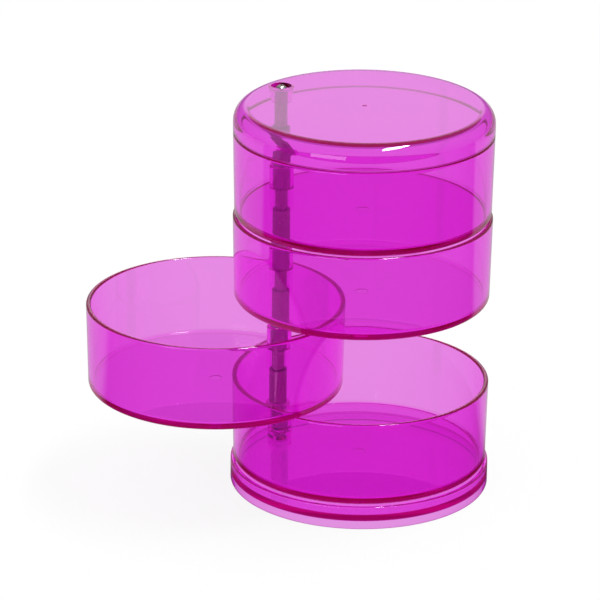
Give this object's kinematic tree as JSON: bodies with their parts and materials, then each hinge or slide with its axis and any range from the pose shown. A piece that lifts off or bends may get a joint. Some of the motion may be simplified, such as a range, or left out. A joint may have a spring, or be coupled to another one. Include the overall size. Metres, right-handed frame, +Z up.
{
  "type": "swivel storage caddy",
  "caption": "Round stacked storage caddy of clear magenta plastic: trays and a lid that swivel out on one off-centre pivot rod above a shallow base.",
  "frame": {"origin": "middle of the round foot, at table level, on the axis of the stacked trays", "axes": "+Z up along the stack; -Y faces the viewer of the picture; the pivot rod stands at -X +Y"},
  "size_m": [0.1567, 0.1082, 0.154],
  "materials": {
    "clear_magenta": "clear transparent magenta, polished",
    "plated_steel": "bright plated steel"
  },
  "bodies": {
    "stand": {"base": "clear_magenta", "pivot_rod": "plated_steel", "base_screw": "plated_steel", "base_washer": "plated_steel", "lid_screw": "plated_steel", "lid_washer": "plated_steel"},
    "tray_1": {"tray_1": "clear_magenta", "pivot_sleeve_1": "plated_steel"},
    "tray_2": {"tray_2": "clear_magenta", "pivot_sleeve_2": "plated_steel"},
    "tray_3": {"tray_3": "clear_magenta", "pivot_sleeve_3": "plated_steel"},
    "tray_4": {"tray_4": "clear_magenta", "pivot_sleeve_4": "plated_steel"},
    "lid": {"lid": "clear_magenta"}
  },
  "joints": [
    {"name": "tray_1_swivel", "type": "hinge", "parent": "stand", "child": "tray_1", "pos_m": [-0.03187, 0.0235, 0], "axis": [0, 0, 1], "continuous": true},
    {"name": "tray_2_swivel", "type": "hinge", "parent": "stand", "child": "tray_2", "pos_m": [-0.03187, 0.0235, 0], "axis": [0, 0, 1], "continuous": true},
    {"name": "tray_3_swivel", "type": "hinge", "parent": "stand", "child": "tray_3", "pos_m": [-0.03187, 0.0235, 0], "axis": [0, 0, 1], "continuous": true},
    {"name": "tray_4_swivel", "type": "hinge", "parent": "stand", "child": "tray_4", "pos_m": [-0.03187, 0.0235, 0], "axis": [0, 0, 1], "continuous": true},
    {"name": "lid_swivel", "type": "hinge", "parent": "stand", "child": "lid", "pos_m": [-0.03187, 0.0235, 0], "axis": [0, 0, 1], "continuous": true}
  ]
}
